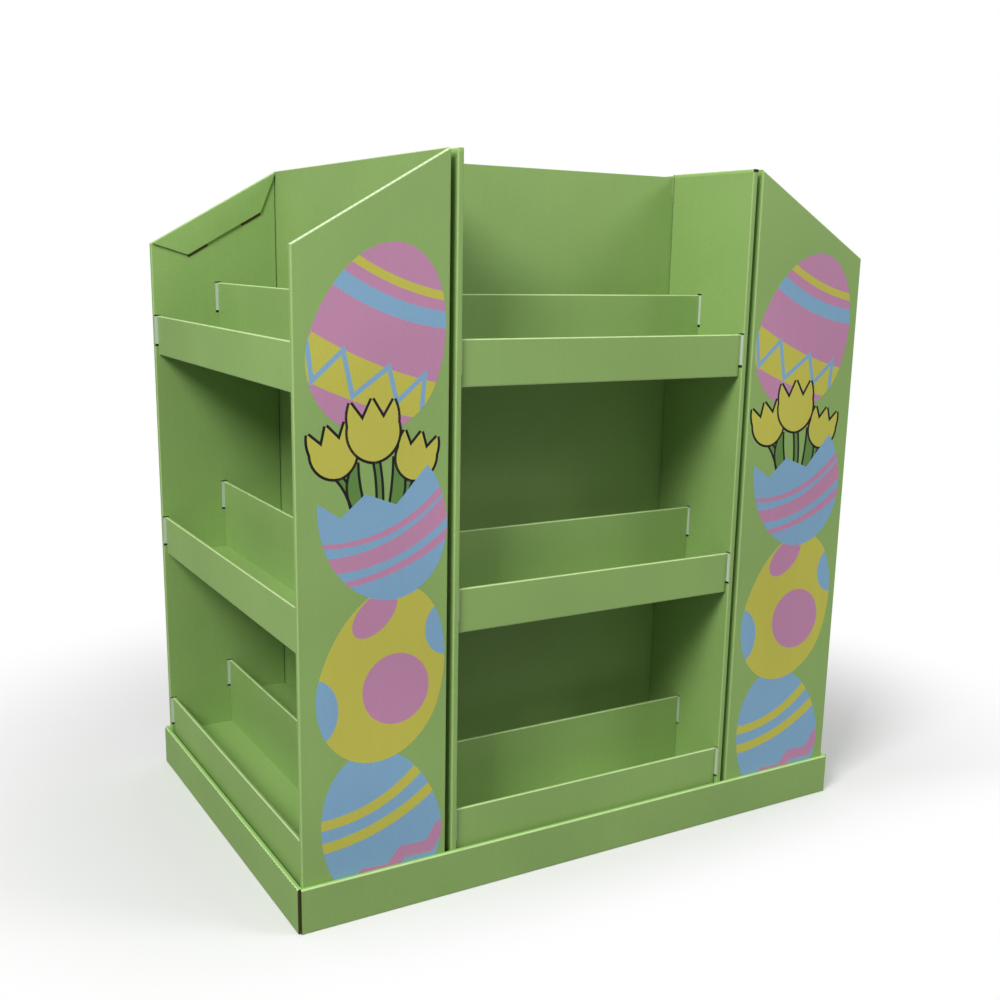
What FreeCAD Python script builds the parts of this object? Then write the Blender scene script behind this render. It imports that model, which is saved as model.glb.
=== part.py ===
import FreeCAD, Part
import math
import os

import Sketcher

# Display stand of folded corrugated board: a base tray that holds four shelf units round a core.
# Millimetres. The origin is at the middle of the footprint, on the ground. +Z is up.
# X runs along the tray's long side, and the two middle units open towards -Y and +Y.

doc = FreeCAD.newDocument("display_stand")
sheet = doc.addObject("Spreadsheet::Sheet", "sizes")

SIZES = {
    # Tray, outside sizes
    "stand_length": 1200,
    "stand_depth": 820,
    "tray_height": 82,
    "tray_board": 4,
    # Slit between the two leaves of a wall that is folded over on itself
    "leaf_slit": 1,
    # Open notch where two tray walls meet
    "tray_corner_notch": 5,
    # Space between the tray's wall and a unit, and between two units
    "unit_clearance": 1,
    "unit_gap": 12,
    # Board of the units, and the hollow side wall that is folded from it
    "board": 3,
    "wall_width": 11,
    "end_unit_depth": 268,
    "middle_unit_depth": 236,
    # Heights above the ground
    "front_height": 1124,
    "back_height": 1278,
    "low_lip_top": 152,
    "mid_lip_top": 558,
    "top_lip_top": 980,
    # The back of a middle unit stops a little under the tops of its sides
    "back_panel_drop": 5,
    # Gap between a side wall's inner leaf and the back panel
    "inner_leaf_gap": 2,
    "corner_slot_height": 50,
    "corner_slot_width": 5,
    "cap_hole_length": 6,
    # Flap that closes the sloping top of an end unit's side and hangs down inside
    "flap_drop": 63,
    "flap_front_run": 74,
    "flap_back_run": 34,
    "flap_slit": 1.5,
    "flap_sink_share": 0.35,
    # Shelf: a floor with a doubled front lip
    "lip_setback": 7,
    "lip_height": 79,
    "shelf_side_clearance": 0.5,
    "lip_end_gap": 2.5,
    # Step: a raised rear tier with a lip of its own
    "step_setback": 136,
    "step_rise": 68,
    "step_trough": 75,
    # Ears at the ends of a lip, locked in slots in the side walls
    "ear_height": 57,
    "ear_reach": 6,
    "ear_clearance": 0.3,
    "slot_below_ear": 5,
    "slot_above_ear": 2,
    # Tabs of a shelf floor, in slots in the back panel
    "back_tab_width": 60,
    "back_tab_inset": 90,
    "back_slot_clearance": 0.6,
    # Sleeve between the backs of the four units
    "core_height": 1000,
    "core_board": 4,
    "core_clearance": 1,
    "core_flap": 45,
    # Outside radius of a fold, as a share of the board's thickness
    "fold_share": 0.9,
    "foot_fold_share": 0.5,
}

for row, (alias, number) in enumerate(SIZES.items(), start=1):
    sheet.set("A%d" % row, alias)
    sheet.set("B%d" % row, str(number))
    sheet.setAlias("B%d" % row, alias)
doc.recompute()


class Size:
    """A length, with the sheet expression that it comes from."""

    def __init__(self, value, text):
        self.value = value
        self.text = text

    def __add__(self, other):
        other = as_size(other)
        return Size(self.value + other.value, "(%s + %s)" % (self.text, other.text))

    def __sub__(self, other):
        other = as_size(other)
        return Size(self.value - other.value, "(%s - %s)" % (self.text, other.text))

    def __mul__(self, other):
        other = as_size(other)
        return Size(self.value * other.value, "(%s * %s)" % (self.text, other.text))

    def __truediv__(self, other):
        other = as_size(other)
        return Size(self.value / other.value, "(%s / %s)" % (self.text, other.text))

    def __neg__(self):
        return Size(-self.value, "(-1 * %s)" % self.text)


def as_size(length):
    """Give a plain number the form of a Size."""
    if isinstance(length, Size):
        return length
    return Size(float(length), repr(float(length)))


def hypotenuse(run, rise):
    """Length of a slope with this run and rise."""
    text = "sqrt(%s ^ 2 + %s ^ 2)" % (run.text, rise.text)
    return Size(math.hypot(run.value, rise.value), text)


def cell(alias):
    """The size that a cell of the sheet holds."""
    return Size(float(SIZES[alias]), "sizes.%s" % alias)


ZERO = as_size(0)

stand_length = cell("stand_length")
stand_depth = cell("stand_depth")
tray_height = cell("tray_height")
tray_board = cell("tray_board")
leaf_slit = cell("leaf_slit")
board = cell("board")
wall_width = cell("wall_width")
lip_setback = cell("lip_setback")
lip_height = cell("lip_height")
step_setback = cell("step_setback")
step_rise = cell("step_rise")
unit_gap = cell("unit_gap")
fold_share = cell("fold_share")

# A wall folded over on itself: two leaves and the slit between them
tray_wall = tray_board * 2 + leaf_slit
lip_thickness = board * 2 + leaf_slit
unit_inset = tray_wall + cell("unit_clearance")
middle_width = stand_length - unit_inset * 2 - cell("end_unit_depth") * 2 - unit_gap * 2
end_width = stand_depth - unit_inset * 2

LEVELS = {
    "low": cell("low_lip_top") - tray_board,
    "mid": cell("mid_lip_top") - tray_board,
    "top": cell("top_lip_top") - tray_board,
}


def start_body(label, along_x=ZERO, along_y=ZERO, up=ZERO, turn=0):
    """A new piece, turned about Z and then moved to its place."""
    body = doc.addObject("PartDesign::Body", label)
    body.Label = label
    body.Placement = FreeCAD.Placement(
        FreeCAD.Vector(along_x.value, along_y.value, up.value),
        FreeCAD.Rotation(FreeCAD.Vector(0, 0, 1), turn),
    )
    body.setExpression("Placement.Base.x", along_x.text)
    body.setExpression("Placement.Base.y", along_y.text)
    body.setExpression("Placement.Base.z", up.text)
    return body


def draw(body, name, plane_role, loops, offset=None):
    """A sketch of closed outlines, with every corner held to the sheet."""
    sketch = body.newObject("Sketcher::SketchObject", name)
    plane = [feature for feature in body.Origin.OriginFeatures if feature.Role == plane_role][0]
    sketch.AttachmentSupport = [(plane, "")]
    sketch.MapMode = "FlatFace"
    if offset is not None:
        sketch.setExpression("AttachmentOffset.Base.z", offset.text)
    for corners in loops:
        first = sketch.GeometryCount
        count = len(corners)
        points = [FreeCAD.Vector(across.value, up.value, 0) for across, up in corners]
        for index in range(count):
            line = Part.LineSegment(points[index], points[(index + 1) % count])
            sketch.addGeometry(line, False)
        for index, (across, up) in enumerate(corners):
            after = first + (index + 1) % count
            sketch.addConstraint(Sketcher.Constraint("Coincident", first + index, 2, after, 1))
            for kind, length in (("DistanceX", across), ("DistanceY", up)):
                held = sketch.addConstraint(
                    Sketcher.Constraint(kind, -1, 1, first + index, 1, length.value)
                )
                sketch.setExpression("Constraints[%d]" % held, length.text)
    return sketch


def rectangle(left, right, bottom, top):
    """Corners of a rectangle."""
    return [(left, bottom), (left, top), (right, top), (right, bottom)]


def grow(body, kind, name, sketch, length, symmetric, reverse):
    """A pad or pocket of this length from the sketch's outline."""
    feature = body.newObject("PartDesign::" + kind, name)
    feature.Profile = sketch
    feature.SideType = "Symmetric" if symmetric else "One side"
    feature.Reversed = reverse
    feature.setExpression("Length", length.text)
    return feature


def pad(body, name, sketch, length, symmetric=False):
    """Add board with the sketch's outline."""
    return grow(body, "Pad", name, sketch, length, symmetric, False)


def pocket(body, name, sketch, length, symmetric=False, reverse=False):
    """Cut away the sketch's outline, and make sure that something was cut."""
    doc.recompute()
    before = body.Shape.Volume
    feature = grow(body, "Pocket", name, sketch, length, symmetric, reverse)
    doc.recompute()
    if body.Shape.Volume >= before:
        raise RuntimeError("%s cuts nothing from %s" % (name, body.Label))
    return feature


def round_folds(body, name, radius, is_fold):
    """Round the edges whose middle and direction pass the test."""
    doc.recompute()
    base = body.Tip
    edges = []
    for index, edge in enumerate(base.Shape.Edges, start=1):
        start = edge.Vertexes[0].Point
        end = edge.Vertexes[-1].Point
        if is_fold((start + end) * 0.5, end - start):
            edges.append("Edge%d" % index)
    if not edges:
        raise RuntimeError("%s finds no fold on %s" % (name, body.Label))
    fillet = body.newObject("PartDesign::Fillet", name)
    fillet.Base = (base, edges)
    fillet.setExpression("Radius", radius.text)
    doc.recompute()
    return fillet


ROUNDING = 1e-4


def near(one, other):
    """Two coordinates that are the same but for rounding."""
    return abs(one - other) < ROUNDING


def make_tray():
    """Base tray: floor and four walls, each folded over on itself, open at the corners."""
    body = start_body("base_tray")
    half_length = stand_length / 2
    half_depth = stand_depth / 2
    notch = cell("tray_corner_notch")

    floor = [
        (-half_length, -half_depth + notch),
        (-half_length, half_depth - notch),
        (-half_length + notch, half_depth - notch),
        (-half_length + notch, half_depth),
        (half_length - notch, half_depth),
        (half_length - notch, half_depth - notch),
        (half_length, half_depth - notch),
        (half_length, -half_depth + notch),
        (half_length - notch, -half_depth + notch),
        (half_length - notch, -half_depth),
        (-half_length + notch, -half_depth),
        (-half_length + notch, -half_depth + notch),
    ]
    pad(body, "tray_floor", draw(body, "tray_floor_outline", "XY_Plane", [floor]), tray_board)

    # The outer leaf of each wall carries the folded rim. The inner leaf is shorter and hangs
    # from halfway up the rim's thickness to just above the floor.
    lining_top = tray_height - tray_board / 2
    for name, plane, half, run in (
        ("long", "YZ_Plane", half_depth, stand_length),
        ("short", "XZ_Plane", half_length, stand_depth),
    ):
        outer = []
        inner = []
        for side in (-1, 1):
            edge = half * side
            inwards = -side
            outer.append([
                (edge, ZERO),
                (edge, tray_height),
                (edge + tray_wall * inwards, tray_height),
                (edge + tray_wall * inwards, tray_height - tray_board),
                (edge + tray_board * inwards, tray_height - tray_board),
                (edge + tray_board * inwards, ZERO),
            ])
            inner.append(rectangle(
                edge + (tray_board + leaf_slit) * inwards,
                edge + tray_wall * inwards,
                tray_board + leaf_slit,
                lining_top,
            ))
        outer_sketch = draw(body, name + "_outer_leaves", plane, outer)
        pad(body, name + "_walls", outer_sketch, run - notch * 2, symmetric=True)
        inner_sketch = draw(body, name + "_inner_leaves", plane, inner)
        pad(body, name + "_linings", inner_sketch, run - unit_inset * 2, symmetric=True)

    rim = tray_height.value
    outer_edges = (half_length.value, half_depth.value)
    inner_edges = ((half_length - tray_wall).value, (half_depth - tray_wall).value)

    def is_rim(middle, run):
        if not near(middle.z, rim) or run.Length < unit_inset.value * 2:
            return False
        for x_edge, y_edge in (outer_edges, inner_edges):
            if near(abs(middle.x), x_edge) or near(abs(middle.y), y_edge):
                return True
        return False

    def is_foot(middle, run):
        if not near(middle.z, 0) or run.Length < unit_inset.value * 2:
            return False
        return near(abs(middle.x), outer_edges[0]) or near(abs(middle.y), outer_edges[1])

    round_folds(body, "rim_fold", tray_board * fold_share, is_rim)
    round_folds(body, "foot_fold", tray_board * cell("foot_fold_share"), is_foot)
    return body


def make_unit_body(label, width, depth, sloping, place):
    """Body of a shelf unit: back panel and two hollow side walls, folded from one sheet.

    In its own frame the unit opens towards -Y, with its front edges at Y = 0.
    """
    body = start_body(label, *place)
    half = width / 2
    inside = half - wall_width
    back_top = cell("back_height") - tray_board
    front_top = cell("front_height") - tray_board if sloping else back_top
    rise = back_top - front_top
    back_face = depth - board

    def top_at(along):
        """Height of the side wall's top at this distance from the front."""
        return front_top + rise * along / depth

    block = draw(body, "footprint", "XY_Plane", [rectangle(-half, half, ZERO, depth)])
    pad(body, "block", block, back_top)
    if sloping:
        wedge = [(ZERO, front_top), (ZERO, back_top + board), (depth, back_top + board),
                 (depth, back_top)]
        cut = draw(body, "slope_outline", "YZ_Plane", [wedge])
        pocket(body, "slope", cut, width + board, symmetric=True)
    bay = draw(body, "bay_outline", "XY_Plane", [rectangle(-inside, inside, -board, back_face)])
    pocket(body, "bay", bay, back_top + board, reverse=True)

    outer_x = half.value
    inner_x = inside.value
    rear_y = depth.value

    def is_fold(middle, run):
        at_side = near(abs(middle.x), outer_x) or near(abs(middle.x), inner_x)
        if near(run.x, 0) and near(run.y, 0) and at_side:
            at_front = near(middle.y, 0)
            at_rear = near(middle.y, rear_y) and near(abs(middle.x), outer_x)
            return at_front or at_rear
        on_top = middle.z > (front_top - board).value and near(run.x, 0) and run.y != 0
        return at_side and on_top and abs(run.z) < abs(run.y)

    round_folds(body, "folds", board * fold_share, is_fold)

    # The space inside each side wall, open underneath, and closed in front and on top
    cap = board * hypotenuse(depth, rise) / depth
    hollow = [(board, -board), (board, top_at(board) - cap),
              (back_face, top_at(back_face) - cap), (back_face, -board)]
    hollow_width = wall_width - board * 2
    for side, offset in (("left", -inside - board), ("right", half - board)):
        inner_space = draw(body, side + "_hollow_outline", "YZ_Plane", [hollow], offset)
        pocket(body, side + "_hollow", inner_space, hollow_width)

    # The inner leaves stop just short of the back panel
    gaps = [
        rectangle(inside * side, (inside + board) * side,
                  back_face - cell("inner_leaf_gap"), back_face)
        for side in (-1, 1)
    ]
    gap_sketch = draw(body, "leaf_gap_outline", "XY_Plane", gaps)
    pocket(body, "leaf_gaps", gap_sketch, back_top + board, reverse=True)

    # Slots for the ears of the shelf lips and of the step lips
    ear_clearance = cell("ear_clearance")
    slots = []
    for lip_top in LEVELS.values():
        for setback, top in ((lip_setback, lip_top), (step_setback, lip_top + step_rise)):
            slots.append(rectangle(
                setback - cell("ear_reach") - ear_clearance,
                setback + lip_thickness + ear_clearance,
                top - cell("ear_height") - cell("slot_below_ear"),
                top + cell("slot_above_ear"),
            ))
    slot_sketch = draw(body, "ear_slot_outline", "YZ_Plane", slots)
    pocket(body, "ear_slots", slot_sketch, (inside + board + hollow_width / 2) * 2, symmetric=True)

    # Slots for the tabs of the shelf floors
    tab_slots = []
    tab_inset = cell("back_tab_inset")
    play = cell("back_slot_clearance")
    for lip_top in LEVELS.values():
        floor_foot = lip_top - lip_height
        for side in (-1, 1):
            tab_slots.append(rectangle(
                (inside - tab_inset + play) * side,
                (inside - tab_inset - cell("back_tab_width") - play) * side,
                floor_foot,
                floor_foot + board + play,
            ))
    tab_sketch = draw(body, "tab_slot_outline", "XZ_Plane", tab_slots)
    pocket(body, "tab_slots", tab_sketch, depth * 2 + board, symmetric=True)

    if sloping:
        add_slope_flaps(body, inside, depth, top_at, cap)
    else:
        trim_flat_top(body, half, inside, back_top)
    return body


def add_slope_flaps(body, inside, depth, top_at, cap):
    """Flaps folded from the sloping tops down the inner faces of the side walls."""
    drop = cell("flap_drop")
    slit = cell("flap_slit")
    front_run = cell("flap_front_run")
    back_run = depth - board - cell("flap_back_run")
    back_face = depth - board
    sink = cap * cell("flap_sink_share")
    outline = [
        (board, top_at(board) - sink),
        (back_face, top_at(back_face) - sink),
        (back_run, top_at(back_run) - drop),
        (front_run, top_at(front_run) - drop),
    ]
    under = [
        (ZERO, top_at(ZERO) - cap),
        (back_face, top_at(back_face) - cap),
        (back_face, top_at(back_face) - drop - cap),
        (ZERO, top_at(ZERO) - drop - cap),
    ]
    flap_width = board + slit
    for side, flap_start, slit_start in (
        ("left", -inside, -inside),
        ("right", inside - flap_width, inside - slit),
    ):
        flap_sketch = draw(body, side + "_flap_outline", "YZ_Plane", [outline], flap_start)
        pad(body, side + "_flap", flap_sketch, flap_width)
        slit_sketch = draw(body, side + "_slit_outline", "YZ_Plane", [under], slit_start)
        pocket(body, side + "_slit", slit_sketch, slit, reverse=True)


def trim_flat_top(body, half, inside, back_top):
    """Lower back panel, slots in its upper corners, and holes at the front ends of the caps."""
    through = cell("middle_unit_depth") * 2 + board
    lowered = draw(body, "back_drop_outline", "XZ_Plane", [
        rectangle(-inside, inside, back_top - cell("back_panel_drop"), back_top + board)
    ])
    pocket(body, "back_drop", lowered, through, symmetric=True)
    corner_slots = [
        rectangle((inside - cell("corner_slot_width")) * side, inside * side,
                  back_top - cell("corner_slot_height"), back_top + board)
        for side in (-1, 1)
    ]
    slot_sketch = draw(body, "corner_slot_outline", "XZ_Plane", corner_slots)
    pocket(body, "corner_slots", slot_sketch, through, symmetric=True)
    # The holes are cut from inside the hollow wall up through its cap
    cut_foot = back_top - board * 2
    holes = [
        rectangle((inside + board) * side, (half - board) * side,
                  board, board + cell("cap_hole_length"))
        for side in (-1, 1)
    ]
    hole_sketch = draw(body, "cap_hole_outline", "XY_Plane", holes, cut_foot)
    pocket(body, "cap_holes", hole_sketch, back_top + board - cut_foot, reverse=True)


def add_ears(body, half, setback, lip_top):
    """Ears at both ends of a lip: joined behind the lip, and lying in the wall's inner leaf."""
    ear_foot = lip_top - cell("ear_height")
    side_clearance = cell("shelf_side_clearance")
    neck = rectangle(setback, setback + lip_thickness, ear_foot, lip_top - board)
    ear = rectangle(setback - cell("ear_reach"), setback + lip_thickness, ear_foot,
                    lip_top - leaf_slit)
    neck_sketch = draw(body, "ear_necks_outline", "YZ_Plane", [neck])
    pad(body, "ear_necks", neck_sketch, (half + side_clearance + leaf_slit) * 2, symmetric=True)
    for side, offset in (("left", -half - side_clearance - board), ("right", half + side_clearance)):
        ear_sketch = draw(body, side + "_ear_outline", "YZ_Plane", [ear], offset)
        pad(body, side + "_ear", ear_sketch, board)


def make_shelf(label, width, depth, lip_top, place, standing):
    """Shelf: one folded sheet with a floor, a doubled front lip, ears and two back tabs.
    The outer leaf of a standing shelf's lip runs on down to the tray, past the floor's fold."""
    body = start_body(label, *place)
    half = width / 2 - wall_width - cell("shelf_side_clearance")
    floor_foot = lip_top - lip_height
    floor_top = floor_foot + board
    rear = depth - board - cell("shelf_side_clearance")
    lip_back = lip_setback + lip_thickness
    inner_leaf = lip_setback + board + leaf_slit
    if standing:
        lip_foot = ZERO
        floor_fold = inner_leaf
        section = [
            (lip_setback, lip_foot),
            (lip_setback, lip_top),
            (lip_back, lip_top),
            (lip_back, floor_top),
            (rear, floor_top),
            (rear, floor_foot),
            (inner_leaf, floor_foot),
            (inner_leaf, lip_top - board),
            (lip_setback + board, lip_top - board),
            (lip_setback + board, lip_foot),
        ]
    else:
        lip_foot = floor_foot
        floor_fold = lip_setback
        section = [
            (lip_setback, floor_foot),
            (rear, floor_foot),
            (rear, floor_top),
            (lip_setback + board, floor_top),
            (lip_setback + board, lip_top - board),
            (inner_leaf, lip_top - board),
            (inner_leaf, floor_top + leaf_slit),
            (lip_back, floor_top + leaf_slit),
            (lip_back, lip_top),
            (lip_setback, lip_top),
        ]
    pad(body, "folded_sheet", draw(body, "section", "YZ_Plane", [section]), half * 2,
        symmetric=True)

    front = lip_setback.value
    back = lip_back.value

    def is_fold(middle, run):
        if not near(run.y, 0) or not near(run.z, 0):
            return False
        at_lip_top = near(middle.z, lip_top.value) and (near(middle.y, front) or near(middle.y, back))
        at_foot = near(middle.z, floor_foot.value) and near(middle.y, floor_fold.value)
        return at_lip_top or at_foot

    round_folds(body, "folds", board * fold_share, is_fold)

    # Below the ears the ends of the lip stand clear of the side walls
    end_gap = cell("lip_end_gap")
    below = [
        rectangle(-half, -half + end_gap, lip_foot - board, lip_top - cell("ear_height")),
        rectangle(half - end_gap, half, lip_foot - board, lip_top - cell("ear_height")),
    ]
    below_sketch = draw(body, "lip_end_outline", "XZ_Plane", below)
    pocket(body, "lip_ends", below_sketch, lip_back)

    add_ears(body, half, lip_setback, lip_top)

    # Tabs that pass through the back panel
    inside = width / 2 - wall_width
    tab_inset = cell("back_tab_inset")
    tabs = [
        rectangle((inside - tab_inset) * side, (inside - tab_inset - cell("back_tab_width")) * side,
                  rear - board, depth)
        for side in (-1, 1)
    ]
    tab_sketch = draw(body, "back_tab_outline", "XY_Plane", tabs, floor_foot)
    pad(body, "back_tabs", tab_sketch, board)
    return body


def make_step(label, width, depth, lip_top, place):
    """Step: one folded sheet that makes the raised rear tier, with its own lip and ears."""
    body = start_body(label, *place)
    half = width / 2 - wall_width - cell("shelf_side_clearance")
    foot = lip_top - lip_height + board
    top = lip_top + step_rise
    floor_foot = top - cell("step_trough") - board
    rear = depth - board - cell("shelf_side_clearance")
    front_leaf = step_setback + board
    back_leaf = front_leaf + leaf_slit
    lip_back = step_setback + lip_thickness
    section = [
        (step_setback, foot),
        (step_setback, top),
        (lip_back, top),
        (lip_back, floor_foot + board),
        (rear, floor_foot + board),
        (rear, foot),
        (rear - board, foot),
        (rear - board, floor_foot),
        (back_leaf, floor_foot),
        (back_leaf, top - board),
        (front_leaf, top - board),
        (front_leaf, foot),
    ]
    pad(body, "folded_sheet", draw(body, "section", "YZ_Plane", [section]), half * 2,
        symmetric=True)

    def is_fold(middle, run):
        if not near(run.y, 0) or not near(run.z, 0):
            return False
        at_lip = near(middle.y, step_setback.value) or near(middle.y, lip_back.value)
        at_rear = near(middle.z, (floor_foot + board).value) and near(middle.y, rear.value)
        return near(middle.z, top.value) and at_lip or at_rear

    round_folds(body, "folds", board * fold_share, is_fold)
    add_ears(body, half, step_setback, top)
    return body


def make_core():
    """Sleeve that keeps the backs of the four units apart: four walls and an inner glue flap."""
    clearance = cell("core_clearance")
    core_board = cell("core_board")
    half_x = stand_length / 2 - unit_inset - cell("end_unit_depth") - clearance
    half_y = stand_depth / 2 - unit_inset - cell("middle_unit_depth") - clearance
    body = start_body("core_sleeve", up=tray_board)
    walls = draw(body, "sleeve_outline", "XY_Plane", [
        rectangle(-half_x, half_x, -half_y, half_y),
        rectangle(-half_x + core_board, half_x - core_board,
                  -half_y + core_board, half_y - core_board),
    ])
    pad(body, "sleeve", walls, cell("core_height"))

    def is_fold(middle, run):
        at_corner = near(abs(middle.x), half_x.value) and near(abs(middle.y), half_y.value)
        return at_corner and near(run.x, 0) and near(run.y, 0)

    round_folds(body, "folds", core_board * fold_share, is_fold)
    flap = draw(body, "glue_flap_outline", "XY_Plane", [
        rectangle(half_x - core_board - cell("core_flap"), half_x - core_board,
                  half_y - core_board * 2, half_y - core_board / 2),
    ])
    pad(body, "glue_flap", flap, cell("core_height"))
    return body


def make_unit(name, width, depth, sloping, along_x, along_y, turn):
    """One shelf unit: its body, three shelves and the step on each shelf."""
    place = (along_x, along_y, tray_board, turn)
    pieces = [make_unit_body(name + "_body", width, depth, sloping, place)]
    for level, lip_top in LEVELS.items():
        shelf_name = "%s_%s_shelf" % (name, level)
        pieces.append(make_shelf(shelf_name, width, depth, lip_top, place, level == "low"))
        step_name = "%s_%s_step" % (name, level)
        pieces.append(make_step(step_name, width, depth, lip_top, place))
    return pieces


end_front = stand_length / 2 - unit_inset
middle_front = stand_depth / 2 - unit_inset
end_depth = cell("end_unit_depth")
middle_depth = cell("middle_unit_depth")

pieces = [make_tray(), make_core()]
pieces += make_unit("left_end", end_width, end_depth, True, -end_front, ZERO, -90)
pieces += make_unit("right_end", end_width, end_depth, True, end_front, ZERO, 90)
pieces += make_unit("front_middle", middle_width, middle_depth, False, ZERO, -middle_front, 0)
pieces += make_unit("rear_middle", middle_width, middle_depth, False, ZERO, middle_front, 180)
doc.recompute()

for item in doc.Objects:
    if "Invalid" in item.State or "Error" in item.State:
        raise RuntimeError("%s is in state %s" % (item.Label, item.State))
for piece in pieces:
    if piece.Shape.isNull() or not piece.Shape.isValid():
        raise RuntimeError("%s has no valid shape" % piece.Label)
    if len(piece.Shape.Solids) != 1:
        raise RuntimeError("%s has %d solids" % (piece.Label, len(piece.Shape.Solids)))

os.makedirs("parts", exist_ok=True)
for piece in pieces:
    piece.Shape.exportStep("parts/%s.step" % piece.Label)
print("%d pieces written" % len(pieces))
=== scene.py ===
import math

import bpy
from mathutils import Matrix, Vector
from mathutils.geometry import delaunay_2d_cdt


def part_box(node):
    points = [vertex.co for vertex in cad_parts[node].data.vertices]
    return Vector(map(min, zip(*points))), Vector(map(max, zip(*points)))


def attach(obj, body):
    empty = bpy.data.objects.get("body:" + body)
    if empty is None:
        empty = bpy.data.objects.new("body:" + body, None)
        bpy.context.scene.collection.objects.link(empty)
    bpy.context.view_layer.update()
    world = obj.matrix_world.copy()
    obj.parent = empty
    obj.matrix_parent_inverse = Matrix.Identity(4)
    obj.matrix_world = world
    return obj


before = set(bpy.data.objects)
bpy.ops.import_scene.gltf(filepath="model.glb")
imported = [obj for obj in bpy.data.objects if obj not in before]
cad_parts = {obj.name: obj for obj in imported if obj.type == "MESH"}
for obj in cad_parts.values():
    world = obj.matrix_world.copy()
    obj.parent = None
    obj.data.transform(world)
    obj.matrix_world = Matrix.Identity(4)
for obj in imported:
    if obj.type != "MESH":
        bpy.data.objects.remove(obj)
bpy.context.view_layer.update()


# Base tray
# One sheet of corrugated board, printed green, whose walls are rolled over and tucked in.
# The printed skin stretches over each fold and shows paler there, partly as worn ink and partly as a
# painted highlight, with small cracks in the ink.
MM = 0.001


def paint(red, green, blue):
    """A colour as a maker's swatch gives it, 0 to 255, in the linear values that a shader takes."""
    def linear(part):
        share = part / 255
        return share / 12.92 if share <= 0.04045 else ((share + 0.055) / 1.055) ** 2.4
    return (linear(red), linear(green), linear(blue), 1.0)


def join(tree, feed, socket):
    """Feeds a socket from another socket, or sets it to a plain value."""
    if isinstance(feed, bpy.types.NodeSocket):
        tree.links.new(feed, socket)
    else:
        socket.default_value = feed


def node(tree, kind, feeds, **settings):
    """A node with its settings made and its inputs fed, by their names or numbers."""
    made = tree.nodes.new(kind)
    for name, value in settings.items():
        setattr(made, name, value)
    for name, feed in feeds.items():
        join(tree, feed, made.inputs[name])
    return made


def maths(tree, operation, first, second=0.0):
    """One sum on two numbers."""
    return node(tree, "ShaderNodeMath", {0: first, 1: second}, operation=operation).outputs[0]


def blend_colours(tree, share, low, high, how="MIX"):
    """Two colours blended by a share from 0 to 1."""
    made = node(tree, "ShaderNodeMix", {0: share, 6: low, 7: high}, data_type="RGBA", blend_type=how)
    return made.outputs[2]


def ramp(tree, value, low, high, to_low=0.0, to_high=1.0):
    """A value's run from low to high, eased at both ends, as a run from to_low to to_high."""
    feeds = {"Value": value, "From Min": low, "From Max": high, "To Min": to_low, "To Max": to_high}
    made = node(tree, "ShaderNodeMapRange", feeds, interpolation_type="SMOOTHSTEP")
    return made.outputs["Result"]


def cloud(tree, place, scale, detail=2.0):
    """Soft random blotches, from 0 to 1."""
    made = node(tree, "ShaderNodeTexNoise", {"Vector": place, "Scale": scale, "Detail": detail})
    return made.outputs["Fac"]


def shader_group(name, takes, gives):
    """An empty shader group with its named inputs and outputs."""
    made = bpy.data.node_groups.new(name, "ShaderNodeTree")
    for label, kind in takes.items():
        made.interface.new_socket(label, in_out="INPUT", socket_type=kind)
    for label, kind in gives.items():
        made.interface.new_socket(label, in_out="OUTPUT", socket_type=kind)
    return made, made.nodes.new("NodeGroupInput").outputs, made.nodes.new("NodeGroupOutput").inputs


FLAT_FACE = 0.995
BENT_FACE = 0.9


def make_fold_group():
    """Where a face points along no axis of the stand, the board is bent there or is a sloping top."""
    takes = {"Normal": "NodeSocketVector"}
    tree, takes, gives = shader_group("board fold", takes, {"Fold": "NodeSocketFloat"})
    size = node(tree, "ShaderNodeVectorMath", {0: takes["Normal"]}, operation="ABSOLUTE").outputs[0]
    parts = node(tree, "ShaderNodeSeparateXYZ", {0: size}).outputs
    flat = maths(tree, "MAXIMUM", maths(tree, "MAXIMUM", parts[0], parts[1]), parts[2])
    join(tree, ramp(tree, flat, FLAT_FACE, BENT_FACE), gives["Fold"])
    return tree


FIBRE_SCALE = 900.0


def make_relief_group():
    """The faint washboard of the flutes under the skin, upright on walls, and the paper's fibres."""
    takes = {"Position": "NodeSocketVector", "Normal": "NodeSocketVector",
             "Flute Pitch": "NodeSocketFloat"}
    gives = {"Flutes": "NodeSocketFloat", "Fibres": "NodeSocketFloat"}
    tree, takes, gives = shader_group("board relief", takes, gives)
    size = node(tree, "ShaderNodeVectorMath", {0: takes["Normal"]}, operation="ABSOLUTE").outputs[0]
    facing = node(tree, "ShaderNodeSeparateXYZ", {0: size}).outputs
    place = node(tree, "ShaderNodeSeparateXYZ", {0: takes["Position"]}).outputs
    along_x = maths(tree, "MULTIPLY", place[0], facing[1])
    along_y = maths(tree, "MULTIPLY", place[1], maths(tree, "ADD", facing[0], facing[2]))
    turns = maths(tree, "DIVIDE", maths(tree, "ADD", along_x, along_y), takes["Flute Pitch"])
    wave = maths(tree, "SINE", maths(tree, "MULTIPLY", turns, math.tau))
    join(tree, ramp(tree, wave, -1.0, 1.0), gives["Flutes"])
    join(tree, cloud(tree, takes["Position"], FIBRE_SCALE, 4.0), gives["Fibres"])
    return tree


BLOTCH_SCALE = 2.6
GRAIN_SCALE = 420.0
STREAK_SCALE = (70.0, 70.0, 1.2)
RUB_SCALE = 38.0
CRACK_SCALE = 260.0
SHEEN_SCALE = 9.0
NOISE_LOW = 0.3
NOISE_HIGH = 0.7


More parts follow.
